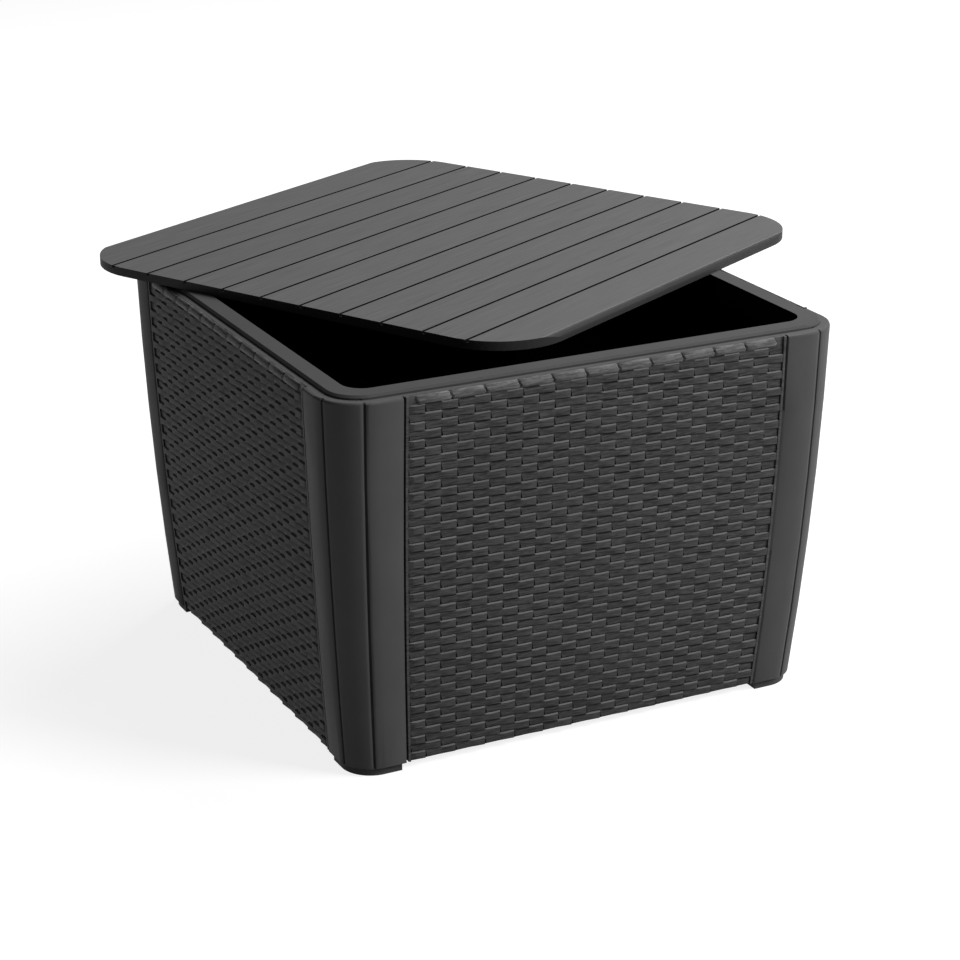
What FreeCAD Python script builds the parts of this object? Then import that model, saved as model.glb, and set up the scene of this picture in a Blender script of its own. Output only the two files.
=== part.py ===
import FreeCAD, Part
import math
import os
import Sketcher

# Resin storage table: four woven-look walls between four corner posts, a floor, a raised rim round
# the open top, four feet and a loose slatted lid that lies turned on the rim.
# Millimetres. The origin is on the ground at the middle of the box, x to the right along the front,
# y to the back, z up.

doc = FreeCAD.newDocument("storage_table")
sheet = doc.addObject("Spreadsheet::Sheet", "sizes")

DIMENSIONS = [
    ("rim_height", 400, "top of the rim above the ground"),
    ("rim_step", 4, "height of the rim above the ledge of the walls"),
    ("rim_width", 544, "rim, outside to outside"),
    ("rim_band", 20, "width of the flat rim"),
    ("rim_corner", 34, "outside corner radius of the rim"),
    ("rim_mouth_corner", 22, "corner radius of the open mouth"),
    ("rim_edge_bevel", 2.2, "bevel of the rim's top outside edge"),
    ("rim_skirt_depth", 22, "depth of the skirt inside the walls"),
    ("rim_skirt_wall", 3, "thickness of the skirt"),
    ("ledge_width", 11, "posts outside the rim, at the ledge"),
    ("wall_taper", 22.5, "posts further in at their feet than at the ledge"),
    ("wall_bulge", 3.2, "outward bow of the walls over a straight taper"),
    ("post_face_top", 71.5, "width of a post face at the ledge"),
    ("post_face_base", 58, "width of a post face at its foot"),
    ("post_corner_top", 48, "outside corner radius of a post at the ledge"),
    ("post_corner_base", 36, "outside corner radius of a post at its foot"),
    ("post_wall", 4.5, "wall of a post"),
    ("post_top_round", 3, "rounding of a post's top outside edge"),
    ("post_plate_reach", 32, "width of the plate at the foot of a post"),
    ("plate_bite", 0.9, "overlap of the plates with the wall of a post"),
    ("groove_angle", 18.8, "place of a groove round the corner, from the face"),
    ("groove_width", 2.6, "width of a post groove"),
    ("groove_depth", 2.2, "depth of a post groove"),
    ("groove_end_depth", 0.1, "depth of a post groove where it runs out at the top edge"),
    ("tongue_length", 16, "reach of a post tongue behind the panel"),
    ("tongue_thickness", 2.5, "thickness of a post tongue"),
    ("seam_gap", 2.5, "open seam between post and panel"),
    ("fit_clearance", 0.3, "gap between parts that slide together"),
    ("panel_set_back", 2.4, "grooves between the woven courses, behind the post face"),
    ("panel_wall", 3, "wall of a panel at those grooves"),
    ("course_crown", 1.2, "rise of a woven course out of the grooves beside it"),
    ("roll_height", 9.4, "height of the rolled edge at the top of a panel"),
    ("roll_crown", 1.9, "rise of the rolled edge"),
    ("flange_thickness", 3, "thickness of the inward flanges and plates"),
    ("flange_base_reach", 16, "reach of a panel's bottom flange"),
    ("foot_height", 9, "height of the feet"),
    ("foot_inset", 4, "feet behind the post face"),
    ("foot_reach", 55, "length of a foot arm from the corner"),
    ("foot_arm", 26, "width of a foot arm"),
    ("foot_wall", 2.5, "wall of a foot"),
    ("foot_top", 3, "thickness of a foot's top"),
    ("floor_thickness", 3, "thickness of the floor"),
    ("floor_gap", 2, "gap between the floor and the post tongues"),
    ("floor_corner", 30, "corner radius of the floor"),
    ("floor_rib_depth", 6, "depth of the ribs under the floor"),
    ("floor_rib_wall", 2.5, "thickness of the ribs under the floor"),
    ("floor_rib_gap", 6, "gap between the ribs and the plates of the posts"),
    ("lid_end_overhang", 9.5, "lid beyond the posts at the slat ends, when closed"),
    ("lid_side_overhang", 9.5, "lid beyond the posts at the outer slats, when closed"),
    ("lid_height", 9.5, "height of the lid's edge"),
    ("lid_corner", 78, "corner radius of the lid"),
    ("lid_side_round", 6, "rolled edge along the outer slats"),
    ("lid_plate", 5.2, "thickness of the lid's deck"),
    ("lid_skirt", 3, "thickness of the lid's skirt"),
    ("lid_lip_gap", 4, "gap between the lid's lip and the mouth"),
    ("lid_rib_wall", 2.5, "thickness of the lid's lip and ribs"),
    ("outer_slat_width", 61.2, "width of the two outer slats"),
    ("slat_groove_width", 3.4, "width of a slat groove"),
    ("slat_groove_depth", 3, "depth of a slat groove"),
    ("lid_turn", 28.1, "turn of the resting lid, degrees"),
    ("lid_centre_x", 49, "middle of the resting lid, to the right"),
    ("lid_centre_y", 154, "middle of the resting lid, to the back"),
    ("screw_shank", 3, "screw diameter"),
    ("screw_head", 6.5, "screw head, corner to corner"),
    ("screw_head_height", 2.5, "height of a screw head"),
    ("rim_screw_length", 6, "rim screw below its head"),
    ("rim_screw_inset", 6, "rim screws inside the rim's outside edge"),
    ("foot_screw_length", 5.5, "foot screw above its head"),
    ("foot_screw_inset", 16.5, "foot screws inside the faces of a foot"),
]

for row, (name, size, note) in enumerate(DIMENSIONS, start=1):
    sheet.set(f"A{row}", name)
    sheet.set(f"B{row}", str(size))
    sheet.setAlias(f"B{row}", name)
    sheet.set(f"C{row}", note)
doc.recompute()

# Shared formulas, all from the sheet.
ledge = "(sizes.rim_height - sizes.rim_step)"
rim_half = "(sizes.rim_width / 2)"
top_half = f"({rim_half} + sizes.ledge_width)"
base_half = f"({top_half} - sizes.wall_taper)"
wall_rise = f"({ledge} - sizes.foot_height)"
wall_chord = f"(sqrt({wall_rise} ^ 2 + sizes.wall_taper ^ 2))"
wall_bow = f"({wall_chord} ^ 2 / (8 * sizes.wall_bulge) + sizes.wall_bulge / 2)"
tongue_front = "(sizes.panel_set_back + sizes.panel_wall + sizes.fit_clearance)"
tongue_back = f"({tongue_front} + sizes.tongue_thickness)"
mouth_half = f"({rim_half} - sizes.rim_band)"
skirt_half = f"({mouth_half} + sizes.rim_skirt_wall)"
skirt_corner = "(sizes.rim_mouth_corner + sizes.rim_skirt_wall)"
floor_level = "(sizes.foot_height + sizes.flange_thickness)"
screw_hole = "(sizes.screw_shank + 2 * sizes.fit_clearance)"
foot_half = f"({base_half} - sizes.foot_inset)"
foot_end = f"({base_half} - sizes.foot_reach)"
foot_screw_line = f"({foot_half} - sizes.foot_screw_inset)"
rim_screw_line = f"({rim_half} - sizes.rim_screw_inset)"

nodes = []
NEAR = 0.01


def value(formula):
    """The number a formula gives with the sheet's sizes."""
    result = sheet.evalExpression(formula)
    return float(getattr(result, "Value", result))


def new_body(name, turn=0):
    """An empty body, turned about the middle of the box, that is written out under its name."""
    body = doc.addObject("PartDesign::Body", name)
    body.Label = name
    body.Placement = FreeCAD.Placement(
        FreeCAD.Vector(0, 0, 0), FreeCAD.Rotation(FreeCAD.Vector(0, 0, 1), turn)
    )
    nodes.append(body)
    return body


def new_sketch(body, name, plane="XY_Plane", height=None):
    """A sketch on one of the body's own planes, lifted by a formula."""
    sketch = body.newObject("Sketcher::SketchObject", f"{body.Name}_{name}")
    origin = body.Origin.OriginFeatures
    support = [feature for feature in origin if feature.Role == plane][0]
    sketch.AttachmentSupport = (support, [""])
    sketch.MapMode = "FlatFace"
    if height is not None:
        sketch.setExpression("AttachmentOffset.Base.z", height)
    return sketch


def tie(sketch, ties):
    """Add constraints, each with the formula that its size follows, or None."""
    numbers = sketch.addConstraint([constraint for constraint, formula in ties])
    for number, (constraint, formula) in zip(numbers, ties):
        if formula is not None:
            sketch.setExpression(f"Constraints[{number}]", formula)


def point_ties(edge, end, x, y):
    """The constraints that tie one end of an edge to formulas for its two coordinates."""
    ties = []
    for kind, axis, formula in (("DistanceX", -2, x), ("DistanceY", -1, y)):
        size = value(formula)
        if abs(size) < NEAR:
            ties.append((Sketcher.Constraint("PointOnObject", edge, end, axis), None))
        elif size > 0:
            ties.append((Sketcher.Constraint(kind, -1, 1, edge, end, size), formula))
        else:
            ties.append((Sketcher.Constraint(kind, edge, end, -1, 1, -size), f"-({formula})"))
    return ties


def arc_between(start, end, radius):
    """An arc that runs anticlockwise from start to end, less than half a turn."""
    chord = end.sub(start)
    reach = math.sqrt(radius ** 2 - (chord.Length / 2) ** 2)
    left = FreeCAD.Vector(-chord.y, chord.x, 0).normalize()
    centre = start.add(end).multiply(0.5).add(left.multiply(reach))
    first = math.atan2(start.y - centre.y, start.x - centre.x)
    last = math.atan2(end.y - centre.y, end.x - centre.x)
    if last < first:
        last += 2 * math.pi
    circle = Part.Circle(centre, FreeCAD.Vector(0, 0, 1), radius)
    return Part.ArcOfCircle(circle, first, last)


def outline(sketch, corners):
    """Draw a closed outline through corners given as formulas (x, y).

    A corner (x, y, radius, side) starts an arc of that radius: side 1 bows to the right of the way
    round, side -1 to the left.
    """
    spots = [FreeCAD.Vector(value(c[0]), value(c[1]), 0) for c in corners]
    ends = []
    for place, corner in enumerate(corners):
        start = spots[place]
        end = spots[(place + 1) % len(spots)]
        if len(corner) == 2:
            edge = sketch.addGeometry(Part.LineSegment(start, end), False)
            ends.append((edge, 1, 2))
        else:
            radius = value(corner[2])
            if corner[3] > 0:
                edge = sketch.addGeometry(arc_between(start, end, radius), False)
                ends.append((edge, 1, 2))
            else:
                edge = sketch.addGeometry(arc_between(end, start, radius), False)
                ends.append((edge, 2, 1))
    ties = []
    for place, corner in enumerate(corners):
        edge, first, last = ends[place]
        following = ends[(place + 1) % len(ends)]
        joined = Sketcher.Constraint("Coincident", edge, last, following[0], following[1])
        ties.append((joined, None))
        ties += point_ties(edge, first, corner[0], corner[1])
        if len(corner) > 2:
            ties.append((Sketcher.Constraint("Radius", edge, value(corner[2])), corner[2]))
    tie(sketch, ties)


def rectangle(sketch, left, right, low, high):
    """Draw a rectangle from formulas for its four sides."""
    outline(sketch, [(left, low), (right, low), (right, high), (left, high)])


def rounded_square(sketch, half_x, half_y, radius):
    """Draw a rectangle with rounded corners about the middle."""
    outline(sketch, [
        (f"-({half_x} - {radius})", f"-{half_y}"),
        (f"{half_x} - {radius}", f"-{half_y}", radius, 1),
        (half_x, f"-({half_y} - {radius})"),
        (half_x, f"{half_y} - {radius}", radius, 1),
        (f"{half_x} - {radius}", half_y),
        (f"-({half_x} - {radius})", half_y, radius, 1),
        (f"-{half_x}", f"{half_y} - {radius}"),
        (f"-{half_x}", f"-({half_y} - {radius})", radius, 1),
    ])


def hole(sketch, x, y, diameter):
    """Draw a circle from formulas for its middle and diameter."""
    middle = FreeCAD.Vector(value(x), value(y), 0)
    normal = FreeCAD.Vector(0, 0, 1)
    edge = sketch.addGeometry(Part.Circle(middle, normal, value(diameter) / 2), False)
    across = Sketcher.Constraint("Diameter", edge, value(diameter))
    tie(sketch, point_ties(edge, 3, x, y) + [(across, diameter)])


def pad(body, sketch, length):
    """Raise a sketch by a formula."""
    feature = body.newObject("PartDesign::Pad", f"{sketch.Name}_pad")
    feature.Profile = sketch
    feature.setExpression("Length", length)
    doc.recompute()
    return feature


def pocket(body, sketch, depth):
    """Cut a sketch upward by a formula."""
    feature = body.newObject("PartDesign::Pocket", f"{sketch.Name}_cut")
    feature.Profile = sketch
    feature.Reversed = True
    feature.setExpression("Length", depth)
    doc.recompute()
    return feature


def cut_through(body, sketch):
    """Cut a sketch through the whole body, both ways."""
    feature = body.newObject("PartDesign::Pocket", f"{sketch.Name}_cut")
    feature.Profile = sketch
    feature.Type = "ThroughAll"
    feature.Midplane = True
    doc.recompute()
    return feature


def bevel_edges(body, feature, size, wanted):
    """Bevel the edges of a feature whose end points and middle all pass the test given."""
    chosen = []
    for number, edge in enumerate(feature.Shape.Edges, start=1):
        middle = edge.valueAt((edge.FirstParameter + edge.LastParameter) / 2)
        spots = [vertex.Point for vertex in edge.Vertexes] + [middle]
        if all(wanted(spot) for spot in spots):
            chosen.append(f"Edge{number}")
    bevel = body.newObject("PartDesign::Chamfer", f"{body.Name}_edge_bevel")
    bevel.Base = (feature, chosen)
    bevel.setExpression("Size", size)
    doc.recompute()


def level(height):
    """A test for points that lie at a height."""
    return lambda spot: abs(spot.z - height) < NEAR


# Floor: a plate with crossed ribs below, lying on the bottom flanges of the walls.
floor_half = f"({base_half} - {tongue_back} - sizes.floor_gap)"
floor = new_body("floor_panel")
floor_plate = new_sketch(floor, "plate", height=floor_level)
rounded_square(floor_plate, floor_half, floor_half, "sizes.floor_corner")
pad(floor, floor_plate, "sizes.floor_thickness")
rib_base = f"({floor_level} - sizes.floor_rib_depth)"
rib_half = f"({base_half} - sizes.post_plate_reach - sizes.floor_rib_gap)"
RIBS = 5
rib_pitch = f"({rib_half} * 2 / {RIBS})"
rib_steps = range(-(RIBS // 2), RIBS // 2 + 1)
for name, along_x in (("ribs_along", True), ("ribs_across", False)):
    ribs = new_sketch(floor, name, height=rib_base)
    for step in rib_steps:
        near = f"{step} * {rib_pitch} - sizes.floor_rib_wall / 2"
        far = f"{step} * {rib_pitch} + sizes.floor_rib_wall / 2"
        if along_x:
            rectangle(ribs, f"-{rib_half}", rib_half, near, far)
        else:
            rectangle(ribs, near, far, f"-{rib_half}", rib_half)
    pad(floor, ribs, "sizes.floor_rib_depth")


# Wall panels: a bowed, tapered sheet moulded as courses of weave below a rolled edge, with a flange
# turned in at the top and one at the bottom. Each is drawn facing the back and turned to its side.
COURSES = 43
panel_top = f"({top_half} - sizes.panel_set_back)"
panel_base = f"({base_half} - sizes.panel_set_back)"
flange_end_top = f"({top_half} - sizes.post_face_top - sizes.tongue_length - sizes.fit_clearance)"
flange_end_base = f"({base_half} - sizes.post_face_base - sizes.tongue_length - sizes.fit_clearance)"
flange_top_in = f"({skirt_half} + sizes.fit_clearance)"
flange_base_in = f"({panel_base} - sizes.flange_base_reach)"
roll_base = f"({ledge} - sizes.roll_height)"
roll_radius = "(sizes.roll_height ^ 2 / (8 * sizes.roll_crown) + sizes.roll_crown / 2)"
course_height = f"(({roll_base} - sizes.foot_height) / {COURSES})"


def wall_share(height):
    """How far up the wall a height is, from 0 at the foot to 1 at the ledge."""
    return f"(({height} - sizes.foot_height) / {wall_rise})"


def wall_half(height):
    """How far the face of the posts is from the middle of the box at a height."""
    share = wall_share(height)
    bow = f"4 * sizes.wall_bulge * {share} * (1 - {share})"
    return f"({base_half} + sizes.wall_taper * {share} + {bow})"


def post_face(height):
    """The width of a post face at a height."""
    spread = "(sizes.post_face_top - sizes.post_face_base)"
    return f"(sizes.post_face_base + {spread} * {wall_share(height)})"


def panel_face(height, rise):
    """A point of the panel's profile that rises by a formula out of its grooves."""
    return f"({wall_half(height)} - sizes.panel_set_back + {rise})", height


woven_face = []
for course in range(COURSES):
    woven_face.append(panel_face(f"(sizes.foot_height + {course} * {course_height})", "0"))
    crown = f"(sizes.foot_height + {course + 0.5} * {course_height})"
    woven_face.append(panel_face(crown, "sizes.course_crown"))
woven_face.append((*panel_face(roll_base, "0"), roll_radius, 1))

# The sides of panels and posts run straight between the same few levels.
WALL_STEPS = 5
wall_levels = []
for step in range(WALL_STEPS + 1):
    rise = f"{step} / {WALL_STEPS} * ({wall_rise} - sizes.post_top_round)"
    wall_levels.append(f"(sizes.foot_height + {rise})")
panel_edge = []
for height in wall_levels + [ledge]:
    panel_edge.append((f"({wall_half(height)} - {post_face(height)} - sizes.seam_gap)", height))
for name, turn in (("back_panel", 0), ("left_panel", 90), ("front_panel", 180), ("right_panel", 270)):
    panel = new_body(name, turn)
    profile = new_sketch(panel, "profile", "YZ_Plane")
    outline(profile, woven_face + [
        (panel_top, ledge),
        (f"{panel_top} - sizes.panel_wall", ledge, wall_bow, -1),
        (f"{panel_base} - sizes.panel_wall", "sizes.foot_height"),
    ])
    sheet_pad = pad(panel, profile, f"2 * {top_half}")
    sheet_pad.Midplane = True
    doc.recompute()
    sides = new_sketch(panel, "sides", "XZ_Plane")
    for side in (1, -1):
        corners = [(f"{side} * {edge}", height) for edge, height in panel_edge]
        corners.append((f"{side} * {top_half}", ledge))
        corners.append((f"{side} * {top_half}", "sizes.foot_height"))
        outline(sides, corners)
    cut_through(panel, sides)
    top_flange = new_sketch(panel, "top_flange", height=f"{ledge} - sizes.flange_thickness")
    rectangle(
        top_flange, f"-{flange_end_top}", flange_end_top,
        flange_top_in, f"{panel_top} - sizes.panel_wall / 2",
    )
    hole(top_flange, "0", rim_screw_line, screw_hole)
    pad(panel, top_flange, "sizes.flange_thickness")
    base_flange = new_sketch(panel, "base_flange", height="sizes.foot_height")
    rectangle(
        base_flange, f"-{flange_end_base}", flange_end_base,
        flange_base_in, f"{panel_base} - sizes.panel_wall / 2",
    )
    pad(panel, base_flange, "sizes.flange_thickness")


# Corner posts: a bowed, tapering corner wall lofted through level sections, with two grooves, a
# rounded top edge, a tongue behind each panel, a plate under the rim and a plate over the foot.
def post_section(body, name, height, inset, groove_depth):
    """The section of a post at one height, for the corner to the right and back.

    The inset is how far the rounded top edge has turned in at that height.
    """
    half = wall_half(height)
    face = post_face(height)
    corner_spread = "(sizes.post_corner_top - sizes.post_corner_base)"
    corner = f"(sizes.post_corner_base + {corner_spread} * {wall_share(height)})"
    outside = f"({half} - {inset})"
    face_end = f"({half} - {face})"
    tip = f"({face_end} - sizes.tongue_length)"
    front = f"({half} - {tongue_front})"
    back = f"({half} - {tongue_back})"
    inside = f"({half} - sizes.post_wall)"
    jog = f"({face_end} + sizes.post_wall)"
    bend = f"({half} - {corner})"
    bend_radius = f"({corner} - {inset})"
    groove_floor = f"({bend_radius} - {groove_depth})"
    groove_turn = f"(sizes.groove_width / {corner} * 180 / pi)"

    def round_the_bend(angle, radius):
        """A point on the bend, by its angle and its distance from the bend's middle."""
        return f"{bend} + {radius} * cos({angle})", f"{bend} + {radius} * sin({angle})"

    corners = [
        (front, tip),
        (front, face_end),
        (outside, face_end),
        (outside, bend, bend_radius, 1),
    ]
    for middle in ("sizes.groove_angle", "(90 - sizes.groove_angle)"):
        corners.append(round_the_bend(f"({middle} - {groove_turn} / 2)", bend_radius))
        corners.append(round_the_bend(middle, groove_floor))
        leaving = round_the_bend(f"({middle} + {groove_turn} / 2)", bend_radius)
        corners.append((*leaving, bend_radius, 1))
    corners += [
        (bend, outside),
        (face_end, outside),
        (face_end, front),
        (tip, front),
        (tip, back),
        (jog, back),
        (jog, inside),
        (bend, inside, f"({corner} - sizes.post_wall)", -1),
        (inside, bend),
        (inside, jog),
        (back, jog),
        (back, tip),
    ]
    section = new_sketch(body, name, height=height)
    outline(section, corners)
    return section


def post_plate(body, name, height, half, face, corner, inner, inner_corner):
    """A flat plate that ties the two faces of a post together."""
    plate = new_sketch(body, name, height=height)
    tip = f"({half} - {face} - sizes.tongue_length)"
    front = f"({half} - {tongue_front})"
    jog = f"({half} - {face} + sizes.post_wall / 2)"
    bite = f"({half} - sizes.post_wall + sizes.plate_bite)"
    turn_start = f"({half} - {corner})"
    outline(plate, [
        (inner, tip),
        (front, tip),
        (front, jog),
        (bite, jog),
        (bite, turn_start, f"({corner} - sizes.post_wall + sizes.plate_bite)", 1),
        (turn_start, bite),
        (jog, bite),
        (jog, front),
        (tip, front),
        (tip, inner),
        (f"{inner} - {inner_corner}", inner, inner_corner, -1),
        (inner, f"{inner} - {inner_corner}"),
    ])
    return plate


ROUND_STEPS = 2
levels = [(height, "0", "sizes.groove_depth") for height in wall_levels]
for step in range(1, ROUND_STEPS + 1):
    angle = f"(90 * {step} / {ROUND_STEPS})"
    height = f"({ledge} - sizes.post_top_round * (1 - sin({angle})))"
    inset = f"(sizes.post_top_round * (1 - cos({angle})))"
    levels.append((height, inset, "sizes.groove_end_depth"))
post_places = (
    ("post_back_right", 0), ("post_back_left", 90), ("post_front_left", 180), ("post_front_right", 270),
)

for name, turn in post_places:
    post = new_body(name, turn)
    sections = []
    for number, (height, inset, groove_depth) in enumerate(levels):
        sections.append(post_section(post, f"section_{number}", height, inset, groove_depth))
    wall = post.newObject("PartDesign::AdditiveLoft", f"{name}_wall")
    wall.Profile = sections[0]
    wall.Sections = sections[1:]
    wall.Ruled = True
    doc.recompute()
    top_plate = post_plate(
        post, "top_plate", f"{ledge} - sizes.flange_thickness", top_half,
        "sizes.post_face_top", "sizes.post_corner_top",
        flange_top_in, f"({skirt_corner} + sizes.fit_clearance)",
    )
    pad(post, top_plate, "sizes.flange_thickness")
    base_plate = post_plate(
        post, "base_plate", "sizes.foot_height", base_half,
        "sizes.post_face_base", "sizes.post_corner_base",
        f"({base_half} - sizes.post_plate_reach)", "sizes.foot_wall",
    )
    hole(base_plate, foot_screw_line, foot_screw_line, screw_hole)
    pad(post, base_plate, "sizes.flange_thickness")


# Rim: a flat ring on the flanges of the walls, with a skirt down inside them.
rim = new_body("rim_frame")
ring = new_sketch(rim, "ring", height=ledge)
rounded_square(ring, rim_half, rim_half, "sizes.rim_corner")
rounded_square(ring, mouth_half, mouth_half, "sizes.rim_mouth_corner")
ring_pad = pad(rim, ring, "sizes.rim_step")
rim_top = level(value("sizes.rim_height"))
between = (value(rim_half) + value(mouth_half)) / 2
outer_bend = value(f"{rim_half} - sizes.rim_corner")


def outside_ring(spot):
    """Points of the ring's top outside edge."""
    if not rim_top(spot):
        return False
    x, y = abs(spot.x), abs(spot.y)
    if x > outer_bend and y > outer_bend:
        return math.hypot(x - outer_bend, y - outer_bend) > value("sizes.rim_corner - sizes.rim_edge_bevel")
    return max(x, y) > between


bevel_edges(rim, ring_pad, "sizes.rim_edge_bevel", outside_ring)
skirt = new_sketch(rim, "skirt", height=f"{ledge} - sizes.rim_skirt_depth")
rounded_square(skirt, skirt_half, skirt_half, skirt_corner)
rounded_square(skirt, mouth_half, mouth_half, "sizes.rim_mouth_corner")
pad(rim, skirt, "sizes.rim_skirt_depth")
pilot = new_sketch(rim, "pilots", height=ledge)
for side in (1, -1):
    hole(pilot, "0", f"{side} * {rim_screw_line}", screw_hole)
    hole(pilot, f"{side} * {rim_screw_line}", "0", screw_hole)
pocket(rim, pilot, "sizes.rim_screw_length - sizes.flange_thickness + sizes.fit_clearance")


# Feet: hollow curved corner pieces under the posts.
foot_places = (
    ("foot_back_right", 0), ("foot_back_left", 90), ("foot_front_left", 180), ("foot_front_right", 270),
)
foot_corner = "(sizes.post_corner_base - sizes.foot_inset)"


def foot_outline(sketch, inset):
    """The plan of a foot, drawn in by a formula."""
    outer = f"({foot_half} - {inset})"
    inner = f"({foot_half} - sizes.foot_arm + {inset})"
    end = f"({foot_end} + {inset})"
    bend = f"({foot_half} - {foot_corner})"
    outline(sketch, [
        (inner, end),
        (outer, end),
        (outer, bend, f"({foot_corner} - {inset})", 1),
        (bend, outer),
        (end, outer),
        (end, inner),
        (inner, inner),
    ])


for name, turn in foot_places:
    foot = new_body(name, turn)
    tread = new_sketch(foot, "tread")
    foot_outline(tread, "0")
    pad(foot, tread, "sizes.foot_height")
    hollow = new_sketch(foot, "hollow")
    foot_outline(hollow, "sizes.foot_wall")
    pocket(foot, hollow, "sizes.foot_height - sizes.foot_top")
    foot_holes = new_sketch(foot, "screw_holes")
    hole(foot_holes, foot_screw_line, foot_screw_line, screw_hole)
    pocket(foot, foot_holes, "sizes.foot_height")


# Screws: hexagon heads from below, through the panel flanges into the rim and through the feet into
# the plates of the posts.
def screw(name, x, y, seat, length):
    """One screw whose head lies below the seat and whose shank goes up from it."""
    head = doc.addObject("Part::Prism", f"{name}_head")
    head.Polygon = 6
    head.setExpression("Circumradius", "sizes.screw_head / 2")
    head.setExpression("Height", "sizes.screw_head_height")
    head.setExpression("Placement.Base.z", f"{seat} - sizes.screw_head_height")
    shank = doc.addObject("Part::Cylinder", f"{name}_shank")
    shank.setExpression("Radius", "sizes.screw_shank / 2")
    shank.setExpression("Height", f"{length} + sizes.screw_head_height / 2")
    shank.setExpression("Placement.Base.z", f"{seat} - sizes.screw_head_height / 2")
    for piece in (head, shank):
        piece.setExpression("Placement.Base.x", x)
        piece.setExpression("Placement.Base.y", y)
    whole = doc.addObject("Part::MultiFuse", name)
    whole.Shapes = [head, shank]
    return whole


rim_screws = []
foot_screws = []
rim_seat = f"{ledge} - sizes.flange_thickness"
foot_seat = "sizes.foot_height - sizes.foot_top"
for number, (side, reach) in enumerate(((1, 0), (0, 1), (-1, 0), (0, -1))):
    x = f"{side} * {rim_screw_line}"
    y = f"{reach} * {rim_screw_line}"
    rim_screws.append(screw(f"rim_screw_{number}", x, y, rim_seat, "sizes.rim_screw_length"))
for number, (side, reach) in enumerate(((1, 1), (-1, 1), (-1, -1), (1, -1))):
    x = f"{side} * {foot_screw_line}"
    y = f"{reach} * {foot_screw_line}"
    foot_screws.append(screw(f"foot_screw_{number}", x, y, foot_seat, "sizes.foot_screw_length"))
for name, group in (("rim_screws", rim_screws), ("foot_screws", foot_screws)):
    bundle = doc.addObject("Part::Compound", name)
    bundle.Label = name
    bundle.Links = group
    nodes.append(bundle)


# Lid: one moulding with a slatted deck, rolled sides, a skirt, and a lip and ribs below that drop
# into the mouth when it is closed. It is drawn level and square, then laid turned on the rim.
half_length = f"({top_half} + sizes.lid_end_overhang)"
half_width = f"({top_half} + sizes.lid_side_overhang)"
lid = new_body("lid_deck")
deck = new_sketch(lid, "deck", "YZ_Plane")
rolled_side = f"({half_width} - sizes.lid_side_round)"
rolled_height = "(sizes.lid_height - sizes.lid_side_round)"
outline(deck, [
    (f"-{half_width}", "0"),
    (half_width, "0"),
    (half_width, rolled_height, "sizes.lid_side_round", 1),
    (rolled_side, "sizes.lid_height"),
    (f"-{rolled_side}", "sizes.lid_height", "sizes.lid_side_round", 1),
    (f"-{half_width}", rolled_height),
])
deck_pad = pad(lid, deck, f"2 * {half_length}")
deck_pad.Midplane = True
doc.recompute()
bends = new_sketch(lid, "corners")
for side_x in (1, -1):
    for side_y in (1, -1):
        bend_x = f"{side_x} * ({half_length} - sizes.lid_corner)"
        bend_y = f"{side_y} * ({half_width} - sizes.lid_corner)"
        outline(bends, [
            (bend_x, f"{side_y} * {half_width}", "sizes.lid_corner", -side_x * side_y),
            (f"{side_x} * {half_length}", bend_y),
            (f"{side_x} * ({half_length} + sizes.lid_skirt)", bend_y),
            (f"{side_x} * ({half_length} + sizes.lid_skirt)", f"{side_y} * ({half_width} + sizes.lid_skirt)"),
            (bend_x, f"{side_y} * ({half_width} + sizes.lid_skirt)"),
        ])
cut_through(lid, bends)
under = new_sketch(lid, "underside")
rounded_square(
    under, f"({half_length} - sizes.lid_skirt)", f"({half_width} - sizes.lid_skirt)",
    "(sizes.lid_corner - sizes.lid_skirt)",
)
pocket(lid, under, "sizes.lid_height - sizes.lid_plate")
lip_half = f"({mouth_half} - sizes.lid_lip_gap)"
lip_corner = "(sizes.rim_mouth_corner - sizes.lid_lip_gap)"
lip = new_sketch(lid, "lip")
rounded_square(lip, lip_half, lip_half, lip_corner)
lip_inside = f"({lip_half} - sizes.lid_rib_wall)"
rounded_square(lip, lip_inside, lip_inside, f"({lip_corner} - sizes.lid_rib_wall)")
pad(lid, lip, "sizes.lid_height - sizes.lid_plate")
rib_end = f"({lip_half} - sizes.lid_rib_wall / 2)"
lid_rib_pitch = f"({lip_half} * 2 / {RIBS})"
for name, along_x in (("ribs_along", True), ("ribs_across", False)):
    ribs = new_sketch(lid, name)
    for step in rib_steps:
        near = f"{step} * {lid_rib_pitch} - sizes.lid_rib_wall / 2"
        far = f"{step} * {lid_rib_pitch} + sizes.lid_rib_wall / 2"
        if along_x:
            rectangle(ribs, f"-{rib_end}", rib_end, near, far)
        else:
            rectangle(ribs, near, far, f"-{rib_end}", rib_end)
    pad(lid, ribs, "sizes.lid_height - sizes.lid_plate")
GROOVES = 10
first_groove = f"({half_width} - sizes.outer_slat_width)"
groove = new_sketch(lid, "slat_groove", "YZ_Plane")
rectangle(
    groove,
    f"-{first_groove} - sizes.slat_groove_width / 2",
    f"-{first_groove} + sizes.slat_groove_width / 2",
    "sizes.lid_height - sizes.slat_groove_depth",
    "sizes.lid_height + sizes.slat_groove_depth",
)
groove_cut = cut_through(lid, groove)
slats = lid.newObject("PartDesign::LinearPattern", "lid_slat_grooves")
slats.Originals = [groove_cut]
across = [feature for feature in lid.Origin.OriginFeatures if feature.Role == "Y_Axis"][0]
slats.Direction = (across, [""])
slats.setExpression("Length", f"2 * {first_groove}")
slats.Occurrences = GROOVES
lid.Tip = slats
doc.recompute()
lid.Placement = FreeCAD.Placement(
    FreeCAD.Vector(0, 0, 0), FreeCAD.Rotation(FreeCAD.Vector(0, 0, 1), value("sizes.lid_turn"))
)
lid.setExpression("Placement.Base.x", "sizes.lid_centre_x")
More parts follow.
